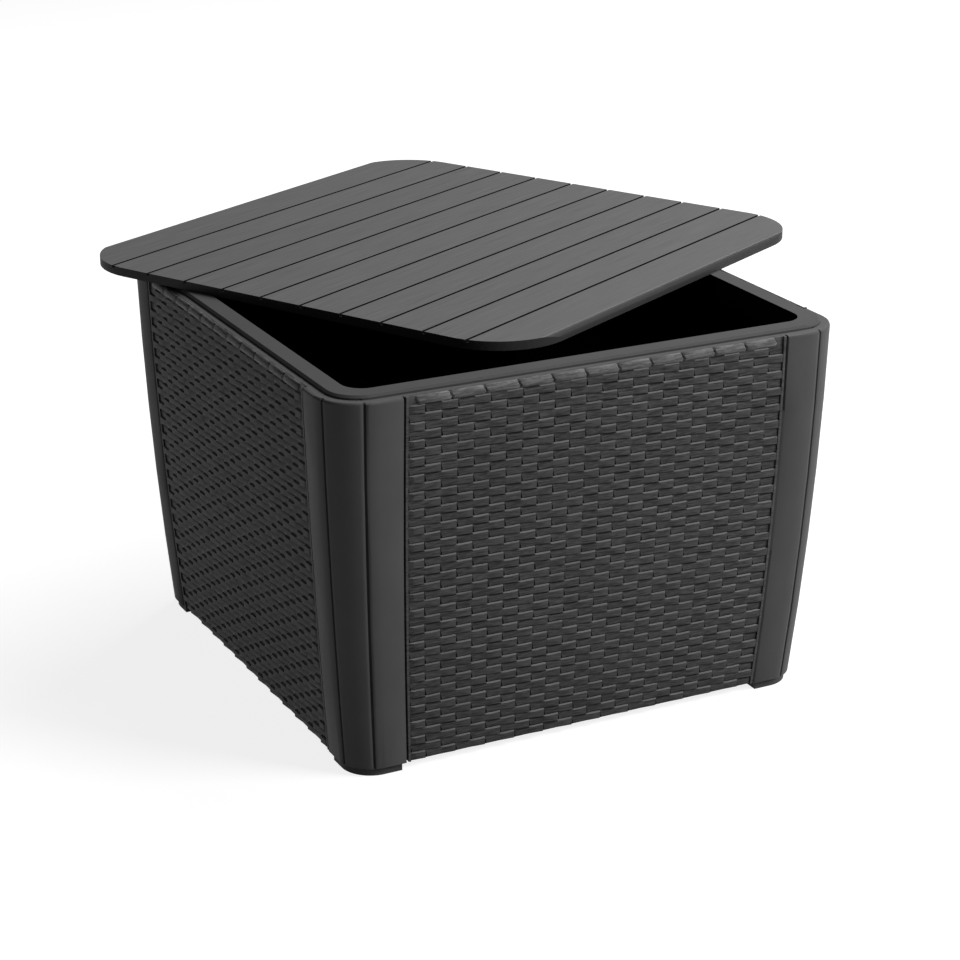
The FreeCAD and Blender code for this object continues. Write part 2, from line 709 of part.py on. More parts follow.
lid.setExpression("Placement.Base.y", "sizes.lid_centre_y")
lid.setExpression("Placement.Base.z", "sizes.rim_height")
lid.setExpression("Placement.Rotation.Angle", "sizes.lid_turn")
doc.recompute()

for item in doc.Objects:
    if "Invalid" in item.State or "Error" in item.State:
        raise RuntimeError(f"{item.Name} did not build: {item.State}")
os.makedirs("parts", exist_ok=True)
for node in nodes:
    shape = node.Shape
    if shape.isNull() or not shape.isValid():
        raise RuntimeError(f"{node.Label} has no sound shape")
    shape.exportStep(f"parts/{node.Label}.step")
    print(node.Label, len(shape.Solids), round(shape.Volume / 1000, 1), shape.BoundBox)
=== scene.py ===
import math
import bpy
from mathutils import Matrix, Vector


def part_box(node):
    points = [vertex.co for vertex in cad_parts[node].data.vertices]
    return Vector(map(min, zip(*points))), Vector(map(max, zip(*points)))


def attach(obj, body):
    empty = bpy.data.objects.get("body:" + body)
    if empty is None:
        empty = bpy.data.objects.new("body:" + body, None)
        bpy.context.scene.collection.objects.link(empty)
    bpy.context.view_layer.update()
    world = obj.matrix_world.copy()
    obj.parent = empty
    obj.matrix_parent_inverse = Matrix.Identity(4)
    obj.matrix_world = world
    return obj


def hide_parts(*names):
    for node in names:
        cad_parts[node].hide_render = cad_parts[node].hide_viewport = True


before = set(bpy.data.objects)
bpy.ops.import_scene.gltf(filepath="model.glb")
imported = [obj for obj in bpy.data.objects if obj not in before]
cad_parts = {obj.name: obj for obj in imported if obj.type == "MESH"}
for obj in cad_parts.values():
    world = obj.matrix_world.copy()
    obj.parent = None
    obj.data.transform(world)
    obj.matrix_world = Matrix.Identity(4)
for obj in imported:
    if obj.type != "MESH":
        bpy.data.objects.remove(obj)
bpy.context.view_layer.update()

# Floor of the box: a ribbed polypropylene plate, injection moulded and laid on the flanges at the
# foot of the walls. It lies deep in the box, so it is left plain and matt, painted near black as shade.
mm = 0.001


def linear(code):
    """The linear colour of an sRGB hex value."""
    shares = [int(code[place:place + 2], 16) / 255 for place in (1, 3, 5)]
    return [s / 12.92 if s <= 0.04045 else ((s + 0.055) / 1.055) ** 2.4 for s in shares] + [1.0]


def add_node(material, kind, settings, links=()):
    """Add a node, give it its settings, and link outputs of other nodes to its inputs."""
    tree = material.node_tree
    made = tree.nodes.new(kind)
    for name, size in settings.items():
        if isinstance(name, int) or name in made.inputs:
            made.inputs[name].default_value = size
        else:
            setattr(made, name, size)
    for name, source in links:
        tree.links.new(source, made.inputs[name])
    return made


def blank_material(name):
    """A new material whose nodes are still to be added."""
    material = bpy.data.materials.new(name)
    material.use_nodes = True
    material.node_tree.nodes.clear()
    return material


def moulded_resin(name, dark, light, roughness, speckle):
    """Moulded polypropylene: nearly flat colour, faint cloudy flow marks and a fine eroded grain.

    The clouds are about 60 mm across. The mould's grain is really 0.3 mm, drawn at the size given.
    """
    material = blank_material(name)
    place = add_node(material, "ShaderNodeTexCoord", {}).outputs["Object"]
    clouds = add_node(
        material, "ShaderNodeTexNoise", {"Scale": 1 / (60 * mm), "Detail": 3.0, "Roughness": 0.55},
        [("Vector", place)])
    tone = add_node(material, "ShaderNodeValToRGB", {}, [("Fac", clouds.outputs["Fac"])])
    tone.color_ramp.elements[0].position = 0.3
    tone.color_ramp.elements[0].color = linear(dark)
    tone.color_ramp.elements[1].position = 0.7
    tone.color_ramp.elements[1].color = linear(light)
    grain = add_node(
        material, "ShaderNodeTexNoise", {"Scale": 1 / (speckle * mm), "Detail": 2.0},
        [("Vector", place)])
    sheen = add_node(
        material, "ShaderNodeMapRange",
        {"From Min": 0.3, "From Max": 0.7, "To Min": roughness - 0.04, "To Max": roughness + 0.04},
        [("Value", grain.outputs["Fac"])])
    bump = add_node(
        material, "ShaderNodeBump", {"Strength": 0.12, "Distance": 0.1 * mm},
        [("Height", grain.outputs["Fac"])])
    resin = add_node(
        material, "ShaderNodeBsdfPrincipled", {"IOR": 1.49, "Specular IOR Level": 0.14},
        [("Base Color", tone.outputs["Color"]), ("Roughness", sheen.outputs["Result"]),
         ("Normal", bump.outputs["Normal"])])
    add_node(material, "ShaderNodeOutputMaterial", {}, [("Surface", resin.outputs["BSDF"])])
    return material


def dress(name, material):
    """Give a CAD node that stays in view its finish."""
    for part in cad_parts[name].material_slots:
        part.material = material


# The near black finish is painted shade, used wherever a face lies in the dark.
painted_shade_black = moulded_resin("painted_shade_near_black", "#0b0b0b", "#0f0f0f", 0.7, 1.5)
dress("floor_panel", painted_shade_black)


# Wall sheets: the four wall panels behind their woven relief, with the flanges that carry the rim and
# the floor. They are moulded in graphite grey polypropylene and held at their edges by the posts. Their
# inside lies in the dark of the box.
def take(piece):
    """Select this piece alone, and make it the one that operators act on."""
    bpy.ops.object.select_all(action="DESELECT")
    piece.select_set(True)
    bpy.context.view_layer.objects.active = piece


def smooth_skin(node, name, body, material, angle):
    """A merged copy of a CAD node, smoothed over its facets, that stands for it.

    Faces are given the second finish later, where a piece has one.
    """
    piece = bpy.data.objects.new(name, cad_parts[node].data.copy())
    bpy.context.scene.collection.objects.link(piece)
    take(piece)
    bpy.ops.object.mode_set(mode="EDIT")
    bpy.ops.mesh.select_all(action="SELECT")
    bpy.ops.mesh.remove_doubles(threshold=0.002 * mm)
    bpy.ops.object.mode_set(mode="OBJECT")
    bpy.ops.object.shade_smooth_by_angle(angle=math.radians(angle))
    flats = piece.modifiers.new("flats", "WEIGHTED_NORMAL")
    flats.keep_sharp = True
    bpy.ops.object.modifier_apply(modifier="flats")
    piece.data.materials.clear()
    piece.data.materials.append(material)
    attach(piece, body)
    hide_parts(node)
    return piece


def pick(piece, kind, wanted):
    """Go to edit mode with only the faces, edges or points selected that pass the test."""
    bpy.ops.object.mode_set(mode="OBJECT")
    mesh = piece.data
    for group in (mesh.vertices, mesh.edges, mesh.polygons):
        group.foreach_set("select", [False] * len(group))
    bpy.context.tool_settings.mesh_select_mode = (kind == "VERT", kind == "EDGE", kind == "FACE")
    if kind == "FACE":
        for face in mesh.polygons:
            face.select = wanted(face.center, face.normal)
    elif kind == "EDGE":
        for edge in mesh.edges:
            edge.select = wanted(*(mesh.vertices[point].co for point in edge.vertices))
    else:
        for point in mesh.vertices:
            point.select = wanted(point.co)
    bpy.ops.object.mode_set(mode="EDIT")


wall_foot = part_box("front_panel")[0].z
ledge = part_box("front_panel")[1].z
base_half = 260.5 * mm
wall_taper = 22.5 * mm
wall_bulge = 3.2 * mm
sheet_middle = 4.2 * mm
sheet_press = 2.9 * mm


def wall_share(height):
    """A height as a share of the wall, 0 at its foot and 1 at its top."""
    return (height - wall_foot) / (ledge - wall_foot)


def wall_half(height):
    """How far the face of the posts is from the middle of the box at a height."""
    share = wall_share(height)
    return base_half + wall_taper * share + 4 * wall_bulge * share * (1 - share)


# The outside of each sheet is pressed back to make room for the relief in front of it.
graphite = moulded_resin("polypropylene_satin_graphite", "#555555", "#5a5a5a", 0.6, 1.2)
for side, out in (("front", (0, -1)), ("right", (1, 0)), ("back", (0, 1)), ("left", (-1, 0))):
    panel = smooth_skin(f"{side}_panel", f"wall_sheet_{side}", "box", graphite, 30)
    pick(panel, "VERT", lambda spot: (
        spot.x * out[0] + spot.y * out[1] > wall_half(spot.z) - sheet_middle))
    bpy.ops.transform.translate(value=(-out[0] * sheet_press, -out[1] * sheet_press, 0))
    bpy.ops.object.mode_set(mode="OBJECT")
    # Upright faces lie in the dark, behind the relief or inside the box, and are painted near black as
    # shade.
    panel.data.materials.append(painted_shade_black)
    for face in panel.data.polygons:
        face.material_index = 1 if abs(face.normal.z) < 0.5 else 0


# Woven relief: the outside of each wall, moulded in one with it to look like flat cane woven one over
# one. It is made flat for the front wall, pulled to the wall's taper and bow, and copied to the other
# three.
COLUMNS = 24
ROWS = 43
# The flat weave is made this many times too narrow and pulled out to its width at the end, so that
# bevels come out longer along the strands than across them.
SQUEEZE = 2.5
hair = 0.01 * mm
roll_height = 9.4 * mm
relief_depth = 2.9 * mm
sheet_depth = 1.1 * mm
border = 2.6 * mm
border_rise = 2.3 * mm
slot_width = 2.2 * mm
post_face_base = 58 * mm
post_face_top = 71.5 * mm
seam_gap = 2.7 * mm


def panel_half(height):
    """Half the width of a wall between the seams at a height."""
    face = post_face_base + (post_face_top - post_face_base) * wall_share(height)
    return wall_half(height) - face - seam_gap


woven_height = ledge - wall_foot - roll_height
woven_half = panel_half(ledge) - border
woven_middle = wall_foot + woven_height / 2
cell_width = 2 * woven_half / COLUMNS / SQUEEZE
cell_height = woven_height / ROWS
edge_line = woven_half / SQUEEZE
slot_share = slot_width / SQUEEZE / cell_width
bpy.ops.object.select_all(action="DESELECT")
bpy.ops.mesh.primitive_grid_add(
    x_subdivisions=2 * COLUMNS, y_subdivisions=ROWS, size=1, location=(0, 0, woven_middle),
    rotation=(math.pi / 2, 0, 0))
weave = bpy.context.object
weave.name = "weave_front"
weave.scale = (2 * woven_half / SQUEEZE, woven_height, 1)
bpy.ops.object.transform_apply(location=True, rotation=True, scale=True)


def along_strand(spot):
    """How far a place is along its strand, in crossings: under from 0 to 1, over from 1 to 2."""
    row = math.floor((spot.z - wall_foot) / cell_height)
    return ((spot.x + edge_line) / cell_width + row + 1) % 2


def upright(first, last):
    """Whether an edge between two points runs upwards."""
    return abs(first.x - last.x) < hair


# Every second upright line moves to the left, which leaves a narrow slot at the start of each
# strand, widest at its foot. Inside a strand the same lines mark where it starts to climb.
pick(weave, "VERT", lambda spot: round((spot.x + edge_line) / cell_width * 2) % 2 == 1)
bpy.ops.transform.translate(value=((slot_share - 0.5) * cell_width, 0, 0))


def slot_corner(spot, foot):
    """Whether a point is the lower (foot) or upper right corner of a slot."""
    across = (spot.x + edge_line) / cell_width
    row = round((spot.z - wall_foot) / cell_height)
    on_line = 0.5 * slot_share < across % 1 < 1.5 * slot_share
    return on_line and ((math.floor(across) + row) % 2 == 1) == foot


slot_foot_widen = 0.15 * mm
slot_top_narrow = 0.7 * mm
for foot, widen in ((True, slot_foot_widen), (False, -slot_top_narrow)):
    pick(weave, "VERT", lambda spot: slot_corner(spot, foot))
    bpy.ops.transform.translate(value=(widen, 0, 0))

# A plain border runs up both sides and behind the rolled edge at the top.
for side in (-1, 1):
    pick(weave, "EDGE", lambda first, last: (
        upright(first, last) and abs(first.x - side * edge_line) < hair))
    bpy.ops.mesh.extrude_region_move(
        TRANSFORM_OT_translate={"value": (side * border / SQUEEZE, 0, 0)})
top_line = wall_foot + woven_height
pick(weave, "EDGE", lambda first, last: min(first.z, last.z) > top_line - hair)
bpy.ops.mesh.extrude_region_move(TRANSFORM_OT_translate={"value": (0, 0, roll_height)})
bpy.ops.object.mode_set(mode="OBJECT")
thicken = weave.modifiers.new("sheet", "SOLIDIFY")
thicken.thickness = sheet_depth
thicken.offset = -1
bpy.ops.object.modifier_apply(modifier="sheet")


def woven_front(spot, normal):
    """The faces of the woven field that look out."""
    return normal.y < -0.5 and abs(spot.x) < edge_line and spot.z < top_line


# Each strand is raised with bevelled edges, every second row at a time. It lies low where it passes
# under, then climbs over its neighbour to a sharp right end.
start_rise = 0.3 * mm
strand_bevel = 0.75 * mm
strand_lean = 0.5 * mm
strand_waver = 0.2 * mm
for turn in (0, 1):
    pick(weave, "FACE", lambda spot, normal: (
        woven_front(spot, normal) and along_strand(spot) > slot_share
        and math.floor((spot.z - wall_foot) / cell_height) % 2 == turn))
    bpy.ops.mesh.inset(thickness=strand_bevel, depth=start_rise)
    bpy.ops.transform.translate(value=(strand_lean, 0, 0))
# By place along the strand: shift along it, rise, and narrowing at its top and its foot.
for near, far, shift, rise, top_in, foot_in in (
    (0.1, 0.8, 0, 0, 0.9 * mm, 0.4 * mm),
    (0.8, 1.12, 0, 0.4 * mm, 0.6 * mm, 0.2 * mm),
    (1.12, 1.6, 0.15 * cell_width, 1.6 * mm, 0.3 * mm, 0),
    (1.6, 2.0, 0, 2.1 * mm, 0, 0),
):
    for upper, lift in ((True, -top_in), (False, foot_in)):
        pick(weave, "VERT", lambda spot: (
            spot.y < -start_rise / 2 and near < along_strand(spot) < far
            and ((spot.z - wall_foot) % cell_height > cell_height / 2) == upper))
        bpy.ops.transform.translate(value=(shift, -rise, lift))
pick(weave, "VERT", lambda spot: spot.y < -start_rise / 2)
bpy.ops.transform.vertex_random(offset=strand_waver, seed=11)
# The slot beside each sharp end is deepest at its foot.
slot_lip = 0.06 * mm
slot_sink = 0.5 * mm
slot_foot_sink = 0.45 * mm
sink_slack = 0.2 * mm
pick(weave, "FACE", lambda spot, normal: (
    woven_front(spot, normal) and abs(spot.y) < hair and along_strand(spot) < slot_share))
bpy.ops.mesh.inset(thickness=slot_lip, depth=-slot_sink, use_individual=True)
pick(weave, "VERT", lambda spot: (
    abs(spot.y - slot_sink) < sink_slack and (spot.z - wall_foot) % cell_height < cell_height / 2))
bpy.ops.transform.translate(value=(0, slot_foot_sink, 0))
pick(weave, "FACE", lambda spot, normal: normal.y < -0.9 and abs(spot.x) > edge_line)
bpy.ops.mesh.extrude_region_move(TRANSFORM_OT_translate={"value": (0, -border_rise, 0)})
bpy.ops.object.mode_set(mode="OBJECT")
# Finishes by face: 0 the strand, 1 its upper edge in a painted highlight, 2 a slot painted near black
# as shade, and 3 the crevices beside a strand where it passes under, painted dark as shade.
highlight_line = 0.45 * mm
finishes = []
for face in weave.data.polygons:
    inside = abs(face.center.x) < edge_line and face.center.z < top_line
    highlighted = inside and face.normal.z > 0.4 and face.center.y < -highlight_line
    sunk = inside and 2 * hair < face.center.y < sheet_depth - 5 * hair
    shaded = inside and face.center.y < 0 and abs(face.normal.z) > 0.3
    finishes.append(1 if highlighted else 2 if sunk else 3 if shaded else 0)


def strand_painted_light(spot):
    """How pale a strand is painted: darker as painted shade where it starts low, paler as painted light
    towards its high sharp end.
    """
    if abs(spot.x) > edge_line or spot.z > top_line:
        return 1.0
    if spot.y > -start_rise / 2:
        return 0.0
    return next(pale for end, pale in ((0.8, -0.1), (1.12, 0.0), (1.6, 0.2), (2.0, 0.9))
                if along_strand(spot) <= end)


shades = weave.data.attributes.new("shade", "FLOAT", "POINT")
shades.data.foreach_set("value", [strand_painted_light(point.co) for point in weave.data.vertices])
pick(weave, "VERT", lambda spot: True)
bpy.ops.transform.resize(value=(SQUEEZE, 1, 1), center_override=(0, 0, 0))
bpy.ops.object.mode_set(mode="OBJECT")

# A lattice cage pulls the flat weave to the taper and the bow of the wall.
cage_depth = 20 * mm
cage_levels = 9
cage_size = (2 * panel_half(ledge), cage_depth, ledge - wall_foot)
cage_middle = (ledge + wall_foot) / 2
bpy.ops.object.add(type="LATTICE", location=(0, 0, cage_middle))
cage = bpy.context.object
cage.scale = cage_size
cage.data.points_u, cage.data.points_v, cage.data.points_w = 2, 2, cage_levels
cage.data.interpolation_type_u = "KEY_LINEAR"
cage.data.interpolation_type_v = "KEY_LINEAR"
cage.data.interpolation_type_w = "KEY_LINEAR"
for point in cage.data.points:
    height = cage_middle + point.co.z * cage_size[2]
    pull = panel_half(height) / panel_half(ledge)
    back = wall_half(height) - relief_depth
    point.co_deform = (point.co.x * pull, point.co.y - back / cage_depth, point.co.z)
follow = weave.modifiers.new("wall_shape", "LATTICE")
follow.object = cage
take(weave)
bpy.ops.object.modifier_apply(modifier="wall_shape")
bpy.data.objects.remove(cage)
bpy.ops.object.shade_smooth_by_angle(angle=math.radians(28))

# The strands are the same polypropylene, moulded with fine lengthwise cane fibres that the eye sees as
# thin streaks. They are drawn 1.3 mm apart, coarser than they are, and in some contrast, so that they
# show. Each crossing differs a little in tone. Painted shade darkens a strand where it passes under,
# painted light makes it paler towards its sharp end, and the rolled edge is painted palest as
# highlight.
fibre_gap = 1.3 * mm
fibre_length = 12 * mm
woven_resin = blank_material("polypropylene_woven_graphite")
spread = add_node(woven_resin, "ShaderNodeTexCoord", {})
cell = add_node(
    woven_resin, "ShaderNodeVectorMath", {"operation": "MULTIPLY", 1: (COLUMNS, ROWS, 1)},
    [(0, spread.outputs["UV"])])
cell_corner = add_node(
    woven_resin, "ShaderNodeVectorMath", {"operation": "FLOOR"}, [(0, cell.outputs["Vector"])])
chance = add_node(
    woven_resin, "ShaderNodeTexWhiteNoise", {"noise_dimensions": "2D"},
    [("Vector", cell_corner.outputs["Vector"])])
fibre_space = add_node(
    woven_resin, "ShaderNodeMapping",
    {"Scale": (1 / fibre_length, 1 / fibre_length, 1 / fibre_gap)},
    [("Vector", spread.outputs["Object"])])
fibres = add_node(
    woven_resin, "ShaderNodeTexNoise", {"Scale": 1.0, "Detail": 3.0, "Roughness": 0.6},
    [("Vector", fibre_space.outputs["Vector"])])
streaks = add_node(
    woven_resin, "ShaderNodeMath", {"operation": "MULTIPLY_ADD", 1: 1.2, 2: -0.1},
    [(0, fibres.outputs["Fac"])])
blend_tone = add_node(
    woven_resin, "ShaderNodeMath", {"operation": "MULTIPLY_ADD", 1: 0.1},
    [(0, chance.outputs["Value"]), (2, streaks.outputs["Value"])])
shade = add_node(woven_resin, "ShaderNodeAttribute", {"attribute_name": "shade"})
painted_light_tone = add_node(
    woven_resin, "ShaderNodeMath", {"operation": "MULTIPLY_ADD", 1: 0.16},
    [(0, shade.outputs["Fac"]), (2, blend_tone.outputs["Value"])])
tone = add_node(woven_resin, "ShaderNodeValToRGB", {}, [("Fac", painted_light_tone.outputs["Value"])])
tone.color_ramp.elements[0].position = 0.15
tone.color_ramp.elements[0].color = linear("#161616")
tone.color_ramp.elements[1].position = 0.95
tone.color_ramp.elements[1].color = linear("#686868")
middle_tone = tone.color_ramp.elements.new(0.42)
middle_tone.color = linear("#3c3c3c")
# The palest tone, which only the rolled edge reaches, is a painted highlight.
painted_highlight_tone = tone.color_ramp.elements.new(1.0)
painted_highlight_tone.color = linear("#7a7a7a")
sheen = add_node(
    woven_resin, "ShaderNodeMapRange",
    {"From Min": 0.3, "From Max": 0.7, "To Min": 0.5, "To Max": 0.62},
    [("Value", fibres.outputs["Fac"])])
bump = add_node(
    woven_resin, "ShaderNodeBump", {"Strength": 0.35, "Distance": 0.25 * mm},
    [("Height", fibres.outputs["Fac"])])
resin = add_node(
    woven_resin, "ShaderNodeBsdfPrincipled", {"IOR": 1.49, "Specular IOR Level": 0.14},
    [("Base Color", tone.outputs["Color"]), ("Roughness", sheen.outputs["Result"]),
     ("Normal", bump.outputs["Normal"])])
add_node(woven_resin, "ShaderNodeOutputMaterial", {}, [("Surface", resin.outputs["BSDF"])])
# A paler copy of the resin is a painted highlight on the strands' upper edges, and a darker one is
# painted shade in their crevices.
painted_highlight_resin = moulded_resin("painted_highlight_graphite", "#727272", "#888888", 0.5, 1.2)
painted_shade_resin = moulded_resin("painted_shade_graphite", "#282828", "#2c2c2c", 0.7, 1.5)
for finish in (woven_resin, painted_highlight_resin, painted_shade_black, painted_shade_resin):
    weave.data.materials.append(finish)
weave.data.polygons.foreach_set("material_index", finishes)


def copy_round(piece, names):
    """Copy a front piece to the right, back and left walls, each with its own mesh, and fix all four.

    The side walls are the mirror image of the front and the back.
    """
    made = [piece]
    for quarter, name in enumerate(names, start=1):
        twin = piece.copy()
        twin.data = piece.data.copy()
        twin.name = name
        bpy.context.scene.collection.objects.link(twin)
        take(twin)
        if quarter % 2 == 1:
            twin.scale.x = -1
            bpy.ops.object.transform_apply(location=True, rotation=True, scale=True)
            pick(twin, "FACE", lambda spot, normal: True)
            bpy.ops.mesh.normals_make_consistent(inside=False)
            bpy.ops.object.mode_set(mode="OBJECT")
        twin.rotation_euler.z = quarter * math.pi / 2
        bpy.ops.object.transform_apply(location=True, rotation=True, scale=True)
        made.append(twin)
    for one in made:
        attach(one, "box")


copy_round(weave, ("weave_right", "weave_back", "weave_left"))


# Rolled edge: the row of wrapped strands along the top of each wall, moulded with the relief. Each
# wrap is a rounded bar with slanted, drawn-in ends, set close to the next.
WRAPS = 11
WRAP_SIDES = 20
wrap_end_room = 11 * mm
wrap_gap = 0.3 * mm
wrap_depth = 3.0 * mm
wrap_reach = 4.7 * mm
wrap_end_round = 1.6 * mm
wrap_end_depth = 0.45
wrap_end_height = 0.72
wrap_slant = 1.1 * mm
wrap_waver = 0.25 * mm
wrap_set_back = 3.4 * mm
wrap_painted_light = 2.5
wrap_run = 2 * (panel_half(ledge) - wrap_end_room)
wrap_pitch = wrap_run / WRAPS
wrap_middle = ledge - roll_height / 2
wrap_half = wrap_pitch / 2 - wrap_gap
bpy.ops.object.select_all(action="DESELECT")
bpy.ops.mesh.primitive_cylinder_add(
    vertices=WRAP_SIDES, radius=1, depth=1, rotation=(0, math.pi / 2, 0), location=(0, 0, 0))
rolls = bpy.context.object
rolls.name = "rolled_edge_front"
bpy.ops.object.transform_apply(location=True, rotation=True, scale=True)
rolls.scale = (2 * wrap_half, wrap_depth, wrap_reach)
bpy.ops.object.transform_apply(location=True, rotation=True, scale=True)
pick(rolls, "EDGE", lambda first, last: abs(first.x - last.x) > wrap_half)
rings = 4
bpy.ops.mesh.subdivide(number_cuts=rings)
ring_step = 2 * wrap_half / (rings + 1)
for side in (-1, 1):
    pick(rolls, "VERT", lambda spot: abs(spot.x - side * (wrap_half - ring_step)) < 10 * hair)
    bpy.ops.transform.translate(value=(side * (ring_step - wrap_end_round), 0, 0))
# The ends are drawn in to a share of the wrap's depth and height.
pick(rolls, "VERT", lambda spot: abs(spot.x) > wrap_half - 10 * hair)
bpy.ops.transform.resize(value=(1, wrap_end_depth, wrap_end_height), center_override=(0, 0, 0))
# The ends slant: the lower half moves to the right and the upper half to the left.
for side in (-1, 1):
    pick(rolls, "VERT", lambda spot: side * spot.z > 50 * hair)
    bpy.ops.transform.translate(value=(-side * wrap_slant, 0, 0))
bpy.ops.object.mode_set(mode="OBJECT")
repeat = rolls.modifiers.new("wraps", "ARRAY")
repeat.count = WRAPS
repeat.use_relative_offset = False
repeat.use_constant_offset = True
repeat.constant_offset_displace = (wrap_pitch, 0, 0)
bpy.ops.object.modifier_apply(modifier="wraps")
pick(rolls, "VERT", lambda spot: True)
bpy.ops.transform.vertex_random(offset=wrap_waver, seed=5)
bpy.ops.transform.translate(
    value=(wrap_pitch / 2 - wrap_run / 2, wrap_set_back - wall_half(wrap_middle), wrap_middle))
bpy.ops.object.mode_set(mode="OBJECT")
bpy.ops.object.shade_smooth_by_angle(angle=math.radians(45))
# The wraps are painted palest, as a highlight where the rolled edge catches the light.
rolls.data.materials.append(woven_resin)
shades = rolls.data.attributes.new("shade", "FLOAT", "POINT")
shades.data.foreach_set("value", [wrap_painted_light] * len(rolls.data.vertices))
copy_round(rolls, ("rolled_edge_right", "rolled_edge_back", "rolled_edge_left"))


# Corner posts: satin mouldings of graphite grey polypropylene with two upright grooves and a rounded
# top, bowed with the walls. Tongues behind the panel edges hold the walls between them.
groove_angle = 18.8
groove_width = 2.6 * mm
groove_depth = 2.2 * mm
groove_slack = 0.3 * mm
post_corner_base = 36 * mm
post_corner_top = 48 * mm
for corner in ("front_left", "front_right", "back_right", "back_left"):
    post = smooth_skin(f"post_{corner}", f"corner_post_{corner}", "box", graphite, 25)
    # The grooves' walls are painted darker as shade.
    post.data.materials.append(painted_shade_resin)
    for face in post.data.polygons:
        bend = post_corner_base + (post_corner_top - post_corner_base) * wall_share(face.center.z)
        middle = wall_half(face.center.z) - bend
        across, along = abs(face.center.x) - middle, abs(face.center.y) - middle
        turn = math.degrees(math.atan2(along, across))
        from_groove = min(abs(turn - groove_angle), abs(90 - turn - groove_angle))
        outer = math.hypot(across, along) > bend - groove_depth - groove_slack
        if outer and from_groove < math.degrees(groove_width / bend) / 2:
            face.material_index = 1


# Rim: one flat polypropylene frame round the mouth, moulded with a rounded outside edge and screwed
# from below through the flanges of the walls. It is a little darker than the posts.
rim_resin = moulded_resin("polypropylene_satin_rim", "#4d4d4d", "#515151", 0.6, 1.2)
ring = smooth_skin("rim_frame", "rim_ring", "box", rim_resin, 22)
# The faces round the mouth lie in the dark of the box and are painted near black as shade.
mouth_half = 252 * mm
mouth_wall = 3.5 * mm
ring.data.materials.append(painted_shade_black)
for face in ring.data.polygons:
    reach = max(abs(face.center.x), abs(face.center.y))
    if reach < mouth_half + mouth_wall and face.normal.z < 0.5:
        face.material_index = 1


# Feet: small hollow mouldings of the same polypropylene, one screwed under each post. They are a
# little darker than the posts.
foot_resin = moulded_resin("polypropylene_matt_foot", "#4e4e4e", "#525252", 0.6, 1.2)
for corner in ("front_left", "front_right", "back_right", "back_left"):
    smooth_skin(f"foot_{corner}", f"tread_{corner}", "box", foot_resin, 30)


# Screws: zinc plated, with hexagon heads, under the rim and in the feet, hidden in use. Plated steel
# shows small bright and dull patches about 2 mm across.
zinc = blank_material("zinc_plated_steel")
place = add_node(zinc, "ShaderNodeTexCoord", {}).outputs["Object"]
patches = add_node(
    zinc, "ShaderNodeTexNoise", {"Scale": 1 / (2 * mm), "Detail": 2.0}, [("Vector", place)])
tone = add_node(zinc, "ShaderNodeValToRGB", {}, [("Fac", patches.outputs["Fac"])])
tone.color_ramp.elements[0].color = linear("#a9abb0")
tone.color_ramp.elements[1].color = linear("#d2d3d6")
sheen = add_node(
    zinc, "ShaderNodeMapRange", {"To Min": 0.28, "To Max": 0.45},
    [("Value", patches.outputs["Fac"])])
steel = add_node(
    zinc, "ShaderNodeBsdfPrincipled", {"Metallic": 1.0},
    [("Base Color", tone.outputs["Color"]), ("Roughness", sheen.outputs["Result"])])
add_node(zinc, "ShaderNodeOutputMaterial", {}, [("Surface", steel.outputs["BSDF"])])
for name in ("rim_screws", "foot_screws"):
    dress(name, zinc)


# Lid: one slatted moulding of polypropylene lying loose and turned on the rim, its slats drawn as
# boards with a fine moulded wood grain. A plain skirt runs round its edge.
lid_turn = math.radians(28.1)
lid_middle = (49 * mm, 154 * mm, 0)
slat_pitch = 51.4 * mm
grain_gap = 1.5 * mm
grain_length = 80 * mm
lid_resin = blank_material("polypropylene_wood_grain_graphite")
place = add_node(lid_resin, "ShaderNodeTexCoord", {}).outputs["Object"]
square_on = add_node(
    lid_resin, "ShaderNodeMapping",
    {"vector_type": "TEXTURE", "Location": lid_middle, "Rotation": (0, 0, lid_turn)},
    [("Vector", place)])
# Grain lines run along the boards, and each board differs a little in tone.
grain_space = add_node(
    lid_resin, "ShaderNodeMapping", {"Scale": (1 / grain_length, 1 / grain_gap, 1 / grain_gap)},
    [("Vector", square_on.outputs["Vector"])])
grain = add_node(
    lid_resin, "ShaderNodeTexNoise", {"Scale": 1.0, "Detail": 4.0, "Roughness": 0.6},
    [("Vector", grain_space.outputs["Vector"])])
board_space = add_node(
    lid_resin, "ShaderNodeMapping",
    {"Location": (0, 0.5, 0), "Scale": (0, 1 / slat_pitch, 0)},
    [("Vector", square_on.outputs["Vector"])])
board = add_node(
    lid_resin, "ShaderNodeVectorMath", {"operation": "FLOOR"}, [(0, board_space.outputs["Vector"])])
board_chance = add_node(
    lid_resin, "ShaderNodeTexWhiteNoise", {"noise_dimensions": "3D"},
    [("Vector", board.outputs["Vector"])])
blend_tone = add_node(
    lid_resin, "ShaderNodeMath", {"operation": "MULTIPLY_ADD", 1: 0.08},
    [(0, board_chance.outputs["Value"]), (2, grain.outputs["Fac"])])
tone = add_node(lid_resin, "ShaderNodeValToRGB", {}, [("Fac", blend_tone.outputs["Value"])])
tone.color_ramp.elements[0].position = 0.35
tone.color_ramp.elements[0].color = linear("#606060")
tone.color_ramp.elements[1].position = 0.9
tone.color_ramp.elements[1].color = linear("#747474")
sheen = add_node(
    lid_resin, "ShaderNodeMapRange",
    {"From Min": 0.3, "From Max": 0.7, "To Min": 0.5, "To Max": 0.62},
    [("Value", grain.outputs["Fac"])])
bump = add_node(
    lid_resin, "ShaderNodeBump", {"Strength": 0.25, "Distance": 0.2 * mm},
    [("Height", grain.outputs["Fac"])])
